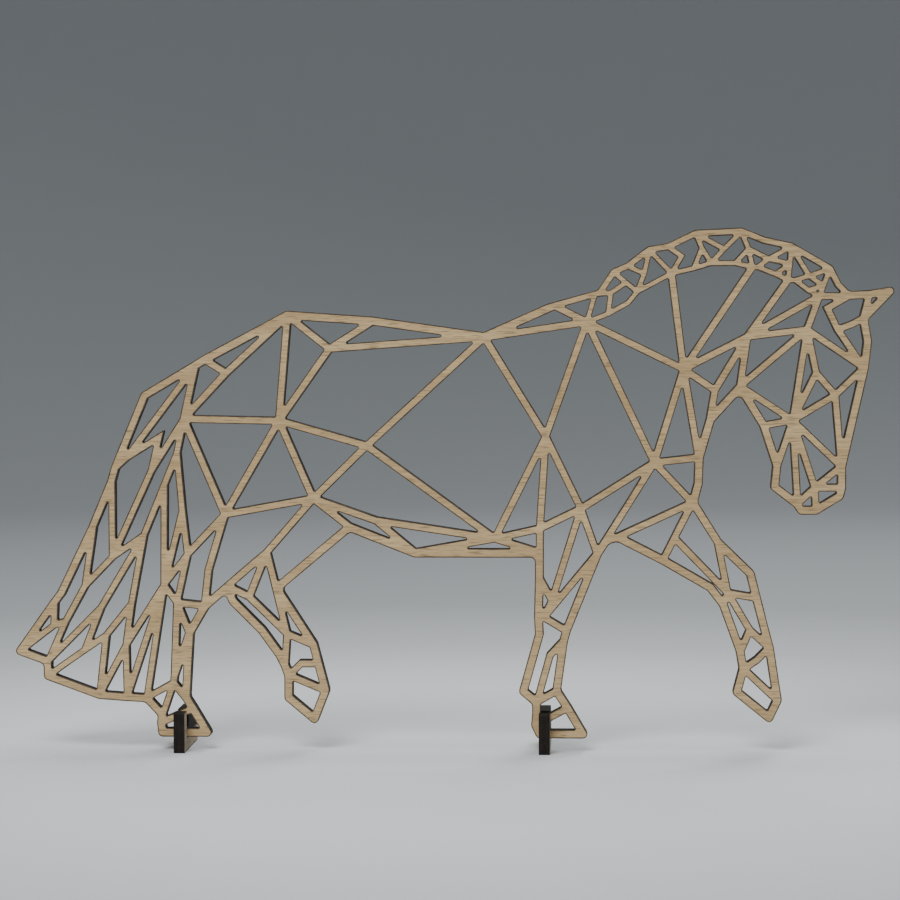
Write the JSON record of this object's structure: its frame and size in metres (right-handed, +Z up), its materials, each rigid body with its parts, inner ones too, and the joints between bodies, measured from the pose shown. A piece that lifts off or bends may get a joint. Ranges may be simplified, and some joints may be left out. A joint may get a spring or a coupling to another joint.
{
  "type": "geometric horse sculpture",
  "caption": "Flat plywood horse cut as an open lattice of straight struts, walking, stood upright in slotted plywood feet under its planted hooves.",
  "frame": {"origin": "centre of the bounding box on the ground under the feet", "axes": "+X along the horse from tail to head, +Y from its flat front face to the feet's long backs, +Z up"},
  "size_m": [0.4798, 0.0516, 0.2855],
  "materials": {
    "birch_plywood": "bare birch plywood with a fine level grain and laser-burnt edges",
    "scorched_plywood": "laser-burnt plywood edges, near black and dull"
  },
  "bodies": {
    "root": {"horse": "birch_plywood", "rear_foot": "scorched_plywood", "front_foot": "scorched_plywood"}
  },
  "joints": []
}
